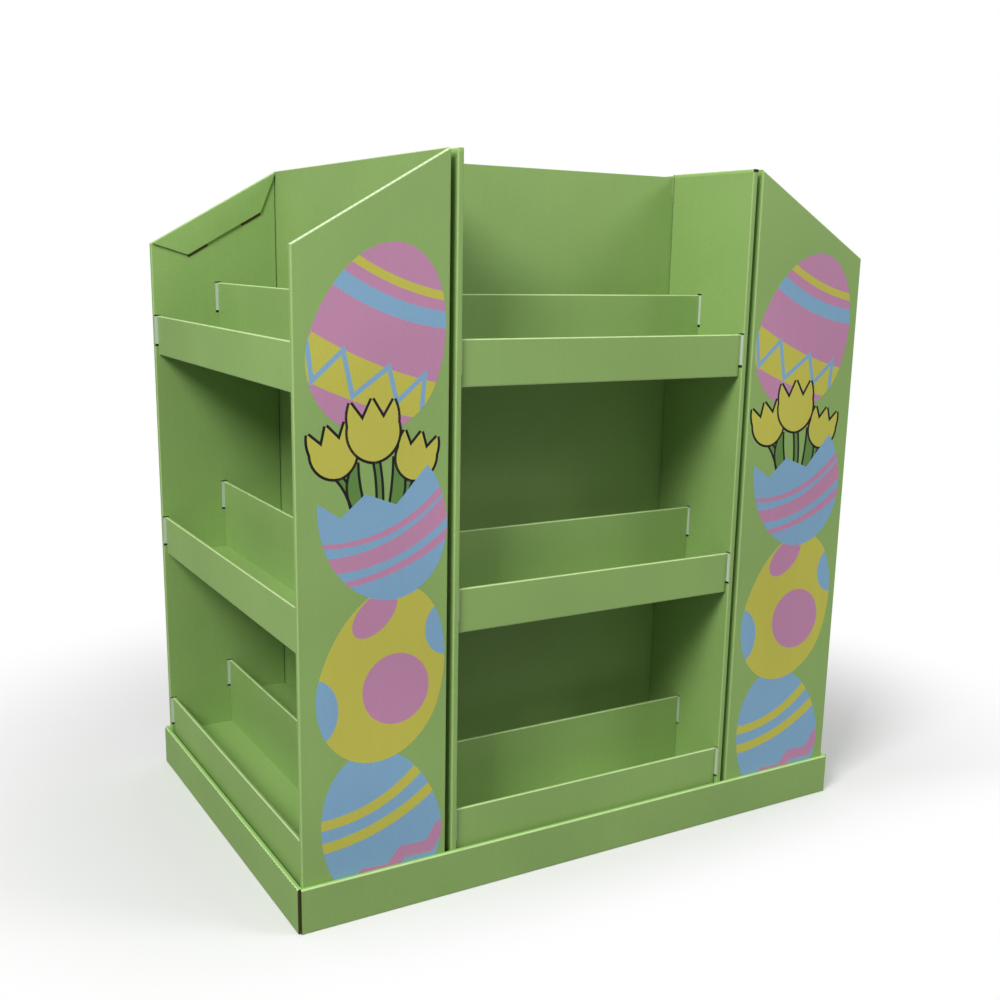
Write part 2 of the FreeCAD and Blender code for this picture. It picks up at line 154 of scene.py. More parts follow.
def make_skin_group():
    """Printed skin: uneven ink, faint upright streaks, paler folds and cracks to bare paper. The paler
    folds are partly worn ink and partly a painted highlight.
    """
    takes = {"Position": "NodeSocketVector", "Color": "NodeSocketColor", "Fold Wear And Highlight Color": "NodeSocketColor",
             "Bare Color": "NodeSocketColor", "Fold": "NodeSocketFloat", "Flutes": "NodeSocketFloat"}
    gives = {"Color": "NodeSocketColor", "Roughness": "NodeSocketFloat"}
    tree, takes, gives = shader_group("printed skin", takes, gives)
    place = takes["Position"]
    broad = ramp(tree, cloud(tree, place, BLOTCH_SCALE), NOISE_LOW, NOISE_HIGH, 0.95, 1.05)
    grain = ramp(tree, cloud(tree, place, GRAIN_SCALE, 3.0), NOISE_LOW, NOISE_HIGH, 0.96, 1.04)
    drawn = node(tree, "ShaderNodeVectorMath", {0: place, 1: STREAK_SCALE}, operation="MULTIPLY")
    streaks = ramp(tree, cloud(tree, drawn.outputs[0], 1.0), NOISE_LOW, NOISE_HIGH, 0.992, 1.008)
    washboard = ramp(tree, takes["Flutes"], 0.0, 1.0, 0.996, 1.004)
    uneven = maths(tree, "MULTIPLY", broad, grain)
    tone = maths(tree, "MULTIPLY", uneven, maths(tree, "MULTIPLY", streaks, washboard))
    grey = node(tree, "ShaderNodeCombineXYZ", {0: tone, 1: tone, 2: tone}).outputs[0]
    inked = blend_colours(tree, 1.0, takes["Color"], grey, "MULTIPLY")
    # Painted highlight, partly worn ink: the paler fold colour is laid in patches on bent faces and
    # sloping tops.
    wear_and_highlight_patches = ramp(tree, cloud(tree, place, RUB_SCALE, 4.0), 0.25, 0.6, 0.72, 1.0)
    worn_and_highlit_share = maths(tree, "MULTIPLY", takes["Fold"], wear_and_highlight_patches)
    folded = blend_colours(tree, worn_and_highlit_share, inked, takes["Fold Wear And Highlight Color"])
    crazing = ramp(tree, cloud(tree, place, CRACK_SCALE, 5.0), 0.62, 0.72)
    cracks = maths(tree, "MULTIPLY", takes["Fold"], crazing)
    join(tree, blend_colours(tree, cracks, folded, takes["Bare Color"]), gives["Color"])
    sheen = cloud(tree, place, SHEEN_SCALE, 3.0)
    join(tree, ramp(tree, sheen, NOISE_LOW, NOISE_HIGH, 0.5, 0.62), gives["Roughness"])
    return tree


def make_reach_group():
    """How far out a point lies along a direction, on either side of the stand's middle."""
    takes = {"Position": "NodeSocketVector", "Direction": "NodeSocketVector",
             "From": "NodeSocketFloat", "To": "NodeSocketFloat"}
    tree, takes, gives = shader_group("reach", takes, {"Share": "NodeSocketFloat"})
    along = node(tree, "ShaderNodeVectorMath", {0: takes["Position"], 1: takes["Direction"]},
                 operation="DOT_PRODUCT").outputs["Value"]
    join(tree, ramp(tree, maths(tree, "ABSOLUTE", along), takes["From"], takes["To"]), gives["Share"])
    return tree


FOLD_GROUP = make_fold_group()
RELIEF_GROUP = make_relief_group()
SKIN_GROUP = make_skin_group()
REACH_GROUP = make_reach_group()
BOARD_GREEN = paint(143, 177, 101)
# Paler green for folds and sloping tops: partly worn ink, partly a painted highlight.
FOLD_WEAR_AND_HIGHLIGHT_GREEN = paint(192, 218, 152)
PAPER_WHITE = paint(206, 212, 200)
FLUTE_PITCH = 7 * MM
SKIN_RELIEF = 0.025 * MM
RELIEF_STRENGTH = 0.8
FLUTE_SHARE = 0.7
ALONG_X = (1.0, 0.0, 0.0)
ALONG_Y = (0.0, 1.0, 0.0)
UPWARDS = (0.0, 0.0, 1.0)


def start_material(name):
    """A new material's tree, with its shader, and the place and facing of each point on the object."""
    made = bpy.data.materials.new(name)
    made.use_nodes = True
    tree = made.node_tree
    place = tree.nodes.new("ShaderNodeTexCoord").outputs
    return made, tree, tree.nodes["Principled BSDF"], place["Object"], place["Normal"]


def reach(tree, place, direction, start, end):
    """A share that runs from 0 to 1 between two distances from the stand's middle."""
    made = node(tree, "ShaderNodeGroup", {}, node_tree=REACH_GROUP)
    for name, feed in {"Position": place, "Direction": direction, "From": start, "To": end}.items():
        join(tree, feed, made.inputs[name])
    return made.outputs["Share"]


def board_material(name, ink, fold_wear_and_highlight_ink, bare=PAPER_WHITE, tints=()):
    """Printed corrugated board. Each tint gives a colour, its strength, and a direction with the
    two distances between which it sets in, such as a band of painted light along a top edge or the
    white of the folded ears."""
    made, tree, shader, place, normal = start_material(name)
    fold = node(tree, "ShaderNodeGroup", {}, node_tree=FOLD_GROUP)
    join(tree, normal, fold.inputs["Normal"])
    relief = node(tree, "ShaderNodeGroup", {}, node_tree=RELIEF_GROUP)
    for name_of_input, feed in {"Position": place, "Normal": normal, "Flute Pitch": FLUTE_PITCH}.items():
        join(tree, feed, relief.inputs[name_of_input])
    skin = node(tree, "ShaderNodeGroup", {}, node_tree=SKIN_GROUP)
    feeds = {"Position": place, "Color": ink, "Fold Wear And Highlight Color": fold_wear_and_highlight_ink, "Bare Color": bare,
             "Fold": fold.outputs["Fold"], "Flutes": relief.outputs["Flutes"]}
    for name_of_input, feed in feeds.items():
        join(tree, feed, skin.inputs[name_of_input])
    colour = skin.outputs["Color"]
    for tint, strength, direction, start, end in tints:
        share = maths(tree, "MULTIPLY", reach(tree, place, direction, start, end), strength)
        colour = blend_colours(tree, share, colour, tint)
    height = maths(tree, "ADD", maths(tree, "MULTIPLY", relief.outputs["Flutes"], FLUTE_SHARE),
                   maths(tree, "MULTIPLY", relief.outputs["Fibres"], 1 - FLUTE_SHARE))
    bump = node(tree, "ShaderNodeBump",
                {"Height": height, "Distance": SKIN_RELIEF, "Strength": RELIEF_STRENGTH})
    join(tree, colour, shader.inputs["Base Color"])
    join(tree, skin.outputs["Roughness"], shader.inputs["Roughness"])
    join(tree, bump.outputs["Normal"], shader.inputs["Normal"])
    return made


def dress(node_name, material):
    """Gives a CAD piece its finish, in each of its material slots."""
    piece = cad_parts[node_name]
    if not piece.material_slots:
        piece.data.materials.append(material)
    for slot in piece.material_slots:
        slot.material = material


CUT_EDGE_SHADE_BROWN = paint(70, 66, 34)
CUT_NOTCH = 5 * MM
CUT_MARGIN = 0.2 * MM
AWAY_FROM = 0.85
FACING = 0.95
tray_low, tray_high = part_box("base_tray")


def add_cut_edges(made, colour, planes):
    """Shows the brown inside of the board on the faces that lie in the given planes, in a dark brown
    that is also painted shade of the narrow cut.
    """
    tree = made.node_tree
    shader = tree.nodes["Principled BSDF"]
    place = tree.nodes["Texture Coordinate"].outputs
    skin = shader.inputs["Base Color"].links[0].from_socket
    for direction, distance in planes:
        low, high = distance - CUT_MARGIN, distance + CUT_MARGIN
        outside = reach(tree, place["Object"], direction, low, distance - CUT_MARGIN / 2)
        inside = reach(tree, place["Object"], direction, distance + CUT_MARGIN / 2, high)
        facing = reach(tree, place["Normal"], direction, AWAY_FROM, FACING)
        share = maths(tree, "MULTIPLY", maths(tree, "SUBTRACT", outside, inside), facing)
        skin = blend_colours(tree, share, skin, colour)
    join(tree, skin, shader.inputs["Base Color"])


# Painted light: a brighter, greener band along the very top of the tray's rolled rim.
RIM_PAINTED_LIGHT_GREEN = paint(142, 194, 96)
RIM_FLAT = 0.3 * MM
RIM_PAINTED_LIGHT_STRENGTH = 0.8
tray_board = board_material(
    "green tray board", BOARD_GREEN, FOLD_WEAR_AND_HIGHLIGHT_GREEN,
    tints=[(RIM_PAINTED_LIGHT_GREEN, RIM_PAINTED_LIGHT_STRENGTH, UPWARDS, tray_high.z - 2 * RIM_FLAT, tray_high.z - RIM_FLAT)])
# Painted shade, partly cut board: the faces of the tray's corner notch take a dark brown that darkens
# the slit.
cut_planes = ((ALONG_X, tray_high.x - CUT_NOTCH), (ALONG_Y, tray_high.y - CUT_NOTCH))
add_cut_edges(tray_board, CUT_EDGE_SHADE_BROWN, cut_planes)
dress("base_tray", tray_board)


# Tray perforations
# The outer crease of each short wall is cut through in a row of short slits, so that it folds straight.
# Thin dark blocks set into the rim are painted shade for these slits and show as fine dark dashes low on
# the outside of the rolled rim.
SLIT_STEP = 11 * MM
SLIT_LENGTH = 4.5 * MM
SLIT_WIDTH = 1.1 * MM
SLIT_RISE = math.radians(25)
SLIT_THICKNESS = 0.5 * MM
SLIT_PROUD = 0.06 * MM
RIM_RADIUS = 3.6 * MM
DARK_GRAIN = (0.8, 0.8, 0.8, 1.0)
PLAIN_GRAIN_SCALE = 500.0
PLAIN_STRENGTH = 0.5


def plain_material(name, colour, roughness):
    """A finish for places that the eye reads only as a shade, with a faint grain."""
    made, tree, shader, place, normal = start_material(name)
    grain = cloud(tree, place, PLAIN_GRAIN_SCALE, 3.0)
    dark = blend_colours(tree, 1.0, colour, DARK_GRAIN, "MULTIPLY")
    join(tree, blend_colours(tree, grain, dark, colour), shader.inputs["Base Color"])
    uneven = ramp(tree, grain, NOISE_LOW, NOISE_HIGH, roughness - 0.05, roughness + 0.05)
    join(tree, uneven, shader.inputs["Roughness"])
    bump = node(tree, "ShaderNodeBump",
                {"Height": grain, "Distance": SKIN_RELIEF, "Strength": PLAIN_STRENGTH})
    join(tree, bump.outputs["Normal"], shader.inputs["Normal"])
    return made


slit_shade = plain_material("slit shade", paint(88, 112, 58), 0.8)


def add_piece(name, points, faces, material):
    """A modelled piece from its points and faces, riding with the stand."""
    mesh = bpy.data.meshes.new(name)
    mesh.from_pydata(points, [], faces)
    mesh.materials.append(material)
    mesh.update()
    piece = bpy.data.objects.new(name, mesh)
    bpy.context.collection.objects.link(piece)
    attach(piece, "root")
    return piece


BLOCK_FACES = [(0, 2, 3, 1), (4, 5, 7, 6), (0, 1, 5, 4), (2, 6, 7, 3), (0, 4, 6, 2), (1, 3, 7, 5)]


def add_block(points, faces, centre, half_sizes, turn=None):
    """Adds a block to a piece's points and faces, turned about its middle."""
    first = len(points)
    for x in (-1, 1):
        for y in (-1, 1):
            for z in (-1, 1):
                corner = Vector((x * half_sizes[0], y * half_sizes[1], z * half_sizes[2]))
                points.append(Vector(centre) + (turn @ corner if turn else corner))
    for corners in BLOCK_FACES:
        faces.append([first + corner for corner in corners])


slit_points, slit_faces = [], []
slit_halves = (SLIT_THICKNESS / 2, SLIT_LENGTH / 2, SLIT_WIDTH / 2)
wall_run = tray_high.y - tray_low.y - 2 * CUT_NOTCH
slit_count = int(wall_run / SLIT_STEP)
slit_depth = RIM_RADIUS + SLIT_PROUD - SLIT_THICKNESS / 2
for wall in (tray_low.x, tray_high.x):
    outward = math.copysign(1.0, wall)
    turn = Matrix.Rotation(-outward * SLIT_RISE, 3, "Y")
    for index in range(slit_count):
        along = (index + 0.5 - slit_count / 2) * SLIT_STEP
        centre = (wall - outward * (RIM_RADIUS - math.cos(SLIT_RISE) * slit_depth), along,
                  tray_high.z - RIM_RADIUS + math.sin(SLIT_RISE) * slit_depth)
        add_block(slit_points, slit_faces, centre, slit_halves, turn)
add_piece("tray_perforation_shade", slit_points, slit_faces, slit_shade)


# Core sleeve
# Plain brown board folded to a square tube, which stands between the units' backs and stiffens them.
# It isn't printed, so it shows bare liner paper with its fibres.
BARE_BROWN = paint(190, 158, 118)
BARE_FOLD_WEAR_AND_HIGHLIGHT = paint(206, 178, 140)
# Its paler folds are partly worn paper and partly a painted highlight.
dress("core_sleeve", board_material("brown board", BARE_BROWN, BARE_FOLD_WEAR_AND_HIGHLIGHT, paint(222, 200, 166)))


# Unit bodies
# Four shelf units stand in the tray, each a back and two hollow side walls folded from one sheet.
# All their faces are printed green. The upright folds hardly show, under a faint paler green that is
# partly worn ink and partly a painted highlight. A band of painted highlight runs along the tops of the
# middle units' walls, and the sloping tops of the end units carry a pale scored line, partly a painted
# highlight.
WALL_FOLD_WEAR_AND_HIGHLIGHT = paint(164, 194, 122)
TOP_HIGHLIGHT_GREEN = paint(166, 202, 118)
TOP_HIGHLIGHT_BAND = 7 * MM
TOP_HIGHLIGHT_STRENGTH = 0.8
end_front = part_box("right_end_body")[1].x
middle_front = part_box("rear_middle_body")[1].y
wall_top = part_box("rear_middle_body")[1].z
SLOPE_HIGHLIGHT_PALE = paint(212, 222, 192)
SLOPE_LINE = 6 * MM
SLOPE_DASH = 9 * MM
DASH_STRENGTH = 0.35


def add_slope_highlight(made, outer_face):
    """A pale line, broken by short dashes, where the skin is scored along the outside of the tops. Its
    paleness is partly the scored skin and partly a painted highlight.
    """
    tree = made.node_tree
    shader = tree.nodes["Principled BSDF"]
    place = tree.nodes["Texture Coordinate"].outputs
    skin = shader.inputs["Base Color"].links[0].from_socket
    inner_edge = outer_face - SLOPE_LINE
    beside = reach(tree, place["Object"], ALONG_Y, inner_edge, outer_face - 0.7 * SLOPE_LINE)
    facing_up = reach(tree, place["Normal"], UPWARDS, 0.4, 0.6)
    along = node(tree, "ShaderNodeSeparateXYZ", {0: place["Object"]}).outputs[0]
    wave = maths(tree, "SINE", maths(tree, "MULTIPLY", along, math.tau / SLOPE_DASH))
    dashes = ramp(tree, wave, -0.9, -0.5, DASH_STRENGTH, 1.0)
    share = maths(tree, "MULTIPLY", maths(tree, "MULTIPLY", beside, facing_up), dashes)
    join(tree, blend_colours(tree, share, skin, SLOPE_HIGHLIGHT_PALE), shader.inputs["Base Color"])


end_wall_board = board_material("green end wall board", BOARD_GREEN, WALL_FOLD_WEAR_AND_HIGHLIGHT)
add_slope_highlight(end_wall_board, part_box("right_end_body")[1].y)
# Painted highlight: a paler band along the top of each middle unit's walls.
middle_wall_board = board_material(
    "green middle wall board", BOARD_GREEN, WALL_FOLD_WEAR_AND_HIGHLIGHT,
    tints=[(TOP_HIGHLIGHT_GREEN, TOP_HIGHLIGHT_STRENGTH, UPWARDS, wall_top - TOP_HIGHLIGHT_BAND, wall_top - 0.7 * TOP_HIGHLIGHT_BAND)])
for unit in ("left_end", "right_end"):
    dress(unit + "_body", end_wall_board)
for unit in ("front_middle", "rear_middle"):
    dress(unit + "_body", middle_wall_board)


# Wall notches
# The cap that closes the hollow wall at the right of a middle unit stops short at the front.
# The corner above the front fold stays open there; a thin dark block on the front face paints its shade.
NOTCH_HEIGHT = 5 * MM
NOTCH_WIDTH = 11 * MM
NOTCH_PROUD = 0.3 * MM
notch_points, notch_faces = [], []
wall_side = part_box("front_middle_body")[1].x
for turned in (-1, 1):
    centre = (turned * (wall_side - NOTCH_WIDTH / 2 - CUT_MARGIN), -turned * middle_front,
              wall_top - NOTCH_HEIGHT / 2 - CUT_MARGIN)
    add_block(notch_points, notch_faces, centre, (NOTCH_WIDTH / 2, NOTCH_PROUD, NOTCH_HEIGHT / 2))
notch_shade = plain_material("open corner shade", paint(34, 36, 24), 0.9)
add_piece("wall_notch_shade", notch_points, notch_faces, notch_shade)


# Flap slits
# The sloping tops of the end units are closed by flaps that fold down inside. The fold at the foot of
# each flap is cut through near both ends, where the brown inside of the board shows. Thin brown sheets
# on the wall show it there, made darker as painted shade of the open cuts.
FLAP_DROP = 63 * MM
FLAP_FRONT_RUN = 74 * MM
FLAP_BACK_RUN = 37 * MM
FLAP_CUT_LENGTH = 42 * MM
FLAP_CUT_HEIGHT = 6.5 * MM
FLAP_CUT_PROUD = 0.3 * MM
FLAP_CUT_SHADE_BROWN = paint(104, 78, 48)
FRONT_TOP = 1124 * MM
end_low, end_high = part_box("left_end_body")
WALL_WIDTH = 11 * MM
cut_points, cut_faces = [], []
end_depth = end_high.x - end_low.x
slope = (end_high.z - FRONT_TOP) / end_depth
lean = math.atan(slope)
for side in (-1, 1):
    wall_face = side * (end_high.y - WALL_WIDTH)
    for start in (FLAP_FRONT_RUN, end_depth - FLAP_BACK_RUN - FLAP_CUT_LENGTH):
        along = start + FLAP_CUT_LENGTH / 2
        height = FRONT_TOP + slope * along - FLAP_DROP - FLAP_CUT_HEIGHT / 2
        for end in (-1, 1):
            centre = (end * (end_front - along), wall_face - side * FLAP_CUT_PROUD / 2, height)
            half_sizes = (FLAP_CUT_LENGTH / 2 / math.cos(lean), FLAP_CUT_PROUD, FLAP_CUT_HEIGHT / 2)
            add_block(cut_points, cut_faces, centre, half_sizes, Matrix.Rotation(end * lean, 3, "Y"))
add_piece("flap_slit_shade", cut_points, cut_faces, plain_material("cut board in shade", FLAP_CUT_SHADE_BROWN, 0.85))


# Shelves and steps
# Each unit holds three shelves with a doubled lip, and a raised step with its own lip behind it.
# Their ears are folded back into the side walls and show the unprinted white side of the sheet.
EAR_WHITE = paint(196, 206, 196)
BOARD = 3 * MM
EAR_MARGIN = 0.3 * MM
middle_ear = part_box("front_middle_low_shelf")[1].x - BOARD
end_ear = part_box("left_end_low_shelf")[1].y - BOARD
middle_board = board_material(
    "green board with ears across", BOARD_GREEN, FOLD_WEAR_AND_HIGHLIGHT_GREEN,
    tints=[(EAR_WHITE, 1.0, ALONG_X, middle_ear - EAR_MARGIN, middle_ear - EAR_MARGIN / 2)])
end_board = board_material(
    "green board with ears along", BOARD_GREEN, FOLD_WEAR_AND_HIGHLIGHT_GREEN,
    tints=[(EAR_WHITE, 1.0, ALONG_Y, end_ear - EAR_MARGIN, end_ear - EAR_MARGIN / 2)])
for level in ("low", "mid", "top"):
    for part in ("shelf", "step"):
        for unit in ("front_middle", "rear_middle"):
            dress("%s_%s_%s" % (unit, level, part), middle_board)
        for unit in ("left_end", "right_end"):
            dress("%s_%s_%s" % (unit, level, part), end_board)


# Printed eggs
# The outer sides of the end units carry a column of four painted eggs, printed on the board.
# Each colour is a thin layer of ink with clean edges. The egg in the middle is cracked open and
# holds a bunch of yellow flowers. Sizes are in millimetres across the panel and up from the ground.
INK_PROUD = 0.12
INK_SUNK = 0.1
INK_STEPS = 48
SHARPEST_MITRE = 0.3


def egg(centre, half_width, up, down, lean):
    """An egg's outline: two half ellipses joined at the widest line, leaning by an angle in degrees."""
    turn = math.radians(lean)
    points = []
    for index in range(2 * INK_STEPS):
        angle = math.pi * index / INK_STEPS
        x = half_width * math.cos(angle)
        y = (up if angle < math.pi else down) * math.sin(angle)
        points.append((centre[0] + x * math.cos(turn) + y * math.sin(turn),
                       centre[1] - x * math.sin(turn) + y * math.cos(turn)))
    return points


def arc(start, middle, end):
    """Points on the round arc through three points."""
    (ax, ay), (bx, by), (cx, cy) = start, middle, end
    scale = 2 * (ax * (by - cy) + bx * (cy - ay) + cx * (ay - by))
    a, b, c = ax * ax + ay * ay, bx * bx + by * by, cx * cx + cy * cy
    x = (a * (by - cy) + b * (cy - ay) + c * (ay - by)) / scale
    y = (a * (cx - bx) + b * (ax - cx) + c * (bx - ax)) / scale
    first = math.atan2(ay - y, ax - x)
    last = math.atan2(cy - y, cx - x)
    sweep = (last - first + math.pi) % math.tau - math.pi
    radius = math.hypot(ax - x, ay - y)
    angles = [first + sweep * index / INK_STEPS for index in range(INK_STEPS + 1)]
    return [(x + radius * math.cos(angle), y + radius * math.sin(angle)) for angle in angles]


def stripe(points, first_width, last_width=None):
    """A band along a line of points, whose width may change evenly from its first end to its last."""
    last_width = first_width if last_width is None else last_width
    left, right = [], []
    for index, (x, y) in enumerate(points):
        before = Vector(points[max(index - 1, 0)])
        after = Vector(points[min(index + 1, len(points) - 1)])
        into = (Vector((x, y)) - before).normalized() if index else (after - before).normalized()
        out = (after - Vector((x, y))).normalized() if index < len(points) - 1 else into
        mean = (into + out).normalized()
        side = Vector((-mean.y, mean.x))
        share = index / (len(points) - 1)
        width = first_width + (last_width - first_width) * share
        half = width / 2 / max(side.dot(Vector((-into.y, into.x))), SHARPEST_MITRE)
        left.append((x + side.x * half, y + side.y * half))
        right.append((x - side.x * half, y - side.y * half))
    return left + right[::-1]


PINK_EGG = egg((136, 953), 115.5, 185, 119, 19.2)
CRACKED_EGG = egg((152, 690), 111.5, 154, 134, -17.4)
YELLOW_EGG = egg((143, 404), 113, 182, 127.5, 16.5)
BLUE_EGG = egg((149, 141), 109, 162, 126, -16)
CRACK = [(0, 760), (36, 729), (75, 702), (118, 738), (173, 717), (229, 779),
         (290, 700), (290, 500), (0, 500)]
PANEL_WIDTH = 268
FOLD_MARGIN = 3
ART_FOOT = 72
ART_TOP = 1200
ART_SHIFT_RIGHT = -12


def tulip(foot, height, width, lean):
    """Outline of a closed flower head with three pointed petals, standing on foot."""
    turn = math.radians(lean)
    half = width / 2
    rough = arc((0, 0), (-half * 0.82, height * 0.2), (-half, height * 0.62))
    rough += arc((-half, height * 0.62), (-half, height * 0.82), (-half * 0.88, height))
    rough += [(-half * 0.42, height * 0.7), (0, height * 1.04), (half * 0.42, height * 0.7)]
    rough += arc((half * 0.88, height), (half, height * 0.82), (half, height * 0.62))
    rough += arc((half, height * 0.62), (half * 0.82, height * 0.2), (0, 0))[:-1]
    return [(foot[0] + x * math.cos(turn) + y * math.sin(turn),
             foot[1] - x * math.sin(turn) + y * math.cos(turn)) for x, y in rough]


def leaf(root, bend, tip, fat):
    """Outline of a slender leaf from its root to its tip."""
    spine = arc(root, bend, tip)
    left, right = [], []
    for index, (x, y) in enumerate(spine):
        share = index / (len(spine) - 1)
        near, far = spine[max(index - 1, 0)], spine[min(index + 1, len(spine) - 1)]
        run = Vector((far[0] - near[0], far[1] - near[1])).normalized()
        half = fat / 2 * math.sin(math.pi * (0.08 + 0.92 * share)) ** 0.8
        left.append((x - run.y * half, y + run.x * half))
        right.append((x + run.y * half, y - run.x * half))
    return left + right[-2:0:-1]


OUTLINE_WIDTH = 9
inks = {
    "pink": paint(196, 138, 174),
    "yellow": paint(199, 194, 80),
    "blue": paint(132, 175, 208),
    "black": paint(14, 12, 12),
    "leaf": paint(98, 140, 66),
}
layers = []


def lay(ink, outline, *within):
    """Prints one field of ink, kept within the outlines given."""
    layers.append((ink, outline, within))


def lay_drawn(ink, outline, *within):
    """Prints one field of ink with a black outline round it."""
    closed = outline + outline[:1]
    for start, end in zip(closed, closed[1:]):
        run = Vector((end[0] - start[0], end[1] - start[1]))
        if run.length > 0.01:
            lay("black", stripe([start, end], OUTLINE_WIDTH), *within)
    lay(ink, outline, *within)


lay("pink", PINK_EGG)
lay("yellow", stripe(arc((96, 1111), (170, 1073.5), (266, 1048)), 14), PINK_EGG)
lay("blue", stripe(arc((62, 1087), (170, 1031.5), (272, 1010)), 29, 27), PINK_EGG)
lay("yellow", stripe(arc((14, 965), (111, 919), (262, 877)), 71, 61), PINK_EGG)
zigzag = [(19, 1010), (30.5, 921), (82.5, 967), (97.5, 895),
          (160, 939), (174, 883), (223, 925), (218, 868)]
lay("blue", stripe(zigzag, 8), PINK_EGG)
lay("yellow", YELLOW_EGG)
lay("pink", egg((172, 402), 61, 62.3, 62.3, 0), YELLOW_EGG)
lay("pink", egg((134, 536), 28, 48, 48, 48), YELLOW_EGG)
lay("blue", egg((264, 497), 38, 47, 47, 0), YELLOW_EGG)
lay("blue", egg((24, 381), 44, 58, 58, 0), YELLOW_EGG)
lay("blue", CRACKED_EGG, CRACK)
lay("pink", stripe(arc((30, 661), (140, 667), (262, 744)), 7.5, 13), CRACKED_EGG)
lay("pink", stripe(arc((40, 626), (140, 635.5), (272, 716)), 25, 32), CRACKED_EGG)
lay("pink", stripe(arc((60, 591), (150, 604), (278, 671)), 9, 15), CRACKED_EGG)
art = layers

PANEL = [(FOLD_MARGIN, ART_FOOT), (PANEL_WIDTH - FOLD_MARGIN, ART_FOOT),
         (PANEL_WIDTH - FOLD_MARGIN, ART_TOP), (FOLD_MARGIN, ART_TOP)]

# The blue egg stands behind the yellow one, so its fields come first.
layers = []
lay("blue", BLUE_EGG, PANEL)
lay("yellow", stripe(arc((20, 183), (110, 192), (222, 259)), 17.5, 20), BLUE_EGG)
lay("yellow", stripe(arc((20, 141), (125, 155), (254, 224)), 19, 20), BLUE_EGG)
kinked = [(88, 60), (112, 76), (160, 73), (184, 101), (236, 100), (262, 140)]
lay("pink", stripe(kinked, 23), BLUE_EGG, PANEL)
art = layers + art

layers = []
for foot, bend, head in (((100, 705), (90, 742), (66, 775)), ((143, 705), (143, 750), (136, 800)),
                         ((180, 705), (190, 740), (200, 764))):
    lay_drawn("leaf", stripe(arc(foot, bend, head), 7))
lay_drawn("leaf", leaf((118, 700), (100, 738), (104, 790), 20))
lay_drawn("leaf", leaf((162, 700), (176, 742), (170, 796), 20))
lay_drawn("yellow", tulip((76, 768), 82, 74, -16))
lay_drawn("yellow", tulip((200, 756), 76, 68, 13))
lay_drawn("yellow", tulip((136, 790), 96, 86, -3))
flowers = layers

# The flowers come out of the cracked egg, so its shell is printed over their stems.
shell_start = art.index(("blue", CRACKED_EGG, (CRACK,)))
art = art[:shell_start] + flowers + art[shell_start:]


def ink_fields():
    """Cuts all the outlines against each other and finds the ink that shows in each small field."""
    outlines = []
    numbers = {}
    for ink, outline, within in art:
        for shape in (outline,) + within:
            if id(shape) not in numbers:
                numbers[id(shape)] = len(outlines)
                outlines.append(shape)
    points, faces = [], []
    for shape in outlines:
        corners = list(range(len(points), len(points) + len(shape)))
        points += [Vector(point) for point in shape]
        turns = sum(points[a].cross(points[b]) for a, b in zip(corners, corners[1:] + corners[:1]))
        faces.append(corners if turns > 0 else corners[::-1])
    cut = delaunay_2d_cdt(points, [], faces, 1, 0.001, True)
    places, triangles, sources = cut[0], cut[2], cut[5]
    shown = []
    for triangle, source in zip(triangles, sources):
        inside = set(source)
        top = None
        for ink, outline, within in art:
            if numbers[id(outline)] in inside and all(numbers[id(shape)] in inside for shape in within):
                top = ink
        if top:
            shown.append((triangle, top))
    return places, shown


art_places, art_fields = ink_fields()
ink_names = list(inks)
ink_finish = {name: board_material(name + " ink", colour, colour) for name, colour in inks.items()}


def print_panel(name, start, shift, turned):
    """Prints the eggs on one panel, a thin layer of ink over the board."""
    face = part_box("left_end_body")[0].y
    side = -1.0 if turned else 1.0
    used = sorted({corner for triangle, ink in art_fields for corner in triangle})
    new_number = {old: number for number, old in enumerate(used)}
    points = []
    for old in used:
        across = start + (art_places[old].x + shift) * MM
        points.append((side * across, side * (face - INK_PROUD * MM), art_places[old].y * MM))
    faces = [[new_number[corner] for corner in triangle] for triangle, ink in art_fields]
    piece = add_piece(name, points, faces, ink_finish[ink_names[0]])
    for ink in ink_names[1:]:
        piece.data.materials.append(ink_finish[ink])
    for polygon, (triangle, ink) in zip(piece.data.polygons, art_fields):
        polygon.material_index = ink_names.index(ink)
    layer = piece.modifiers.new("ink layer", "SOLIDIFY")
    layer.thickness = (INK_PROUD + INK_SUNK) * MM
    layer.offset = -1.0
    return piece


left_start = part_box("left_end_body")[0].x
right_start = -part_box("left_end_body")[1].x
print_panel("eggs_front_left", left_start, 0, False)
print_panel("eggs_front_right", right_start, ART_SHIFT_RIGHT, False)
print_panel("eggs_rear_left", left_start, 0, True)
print_panel("eggs_rear_right", right_start, ART_SHIFT_RIGHT, True)


# Camera
# It stands at the front left corner, a little below the top of the stand, as in the photograph.
CAMERA_PLACE = (-1.2455, -2.1482, 1.1100)
CAMERA_TURN = -31.083
CAMERA_TILT = -12.628
CAMERA_ROLL = -1.248
CAMERA_LENS = 43.625
SENSOR_WIDTH = 36.0
CENTRE_SHIFT = (-0.015, 0.030)
camera = bpy.data.objects.new("camera", bpy.data.cameras.new("camera"))
bpy.context.collection.objects.link(camera)
camera.data.sensor_width = SENSOR_WIDTH
camera.data.lens = CAMERA_LENS
camera.data.shift_x, camera.data.shift_y = CENTRE_SHIFT
turns = ((CAMERA_TURN, "Z"), (CAMERA_TILT, "X"), (CAMERA_ROLL, "Y"), (90.0, "X"))
facing = Matrix.Identity(4)
for angle, axis in turns:
    facing = facing @ Matrix.Rotation(math.radians(angle), 4, axis)
camera.matrix_world = Matrix.Translation(CAMERA_PLACE) @ facing
bpy.context.scene.camera = camera


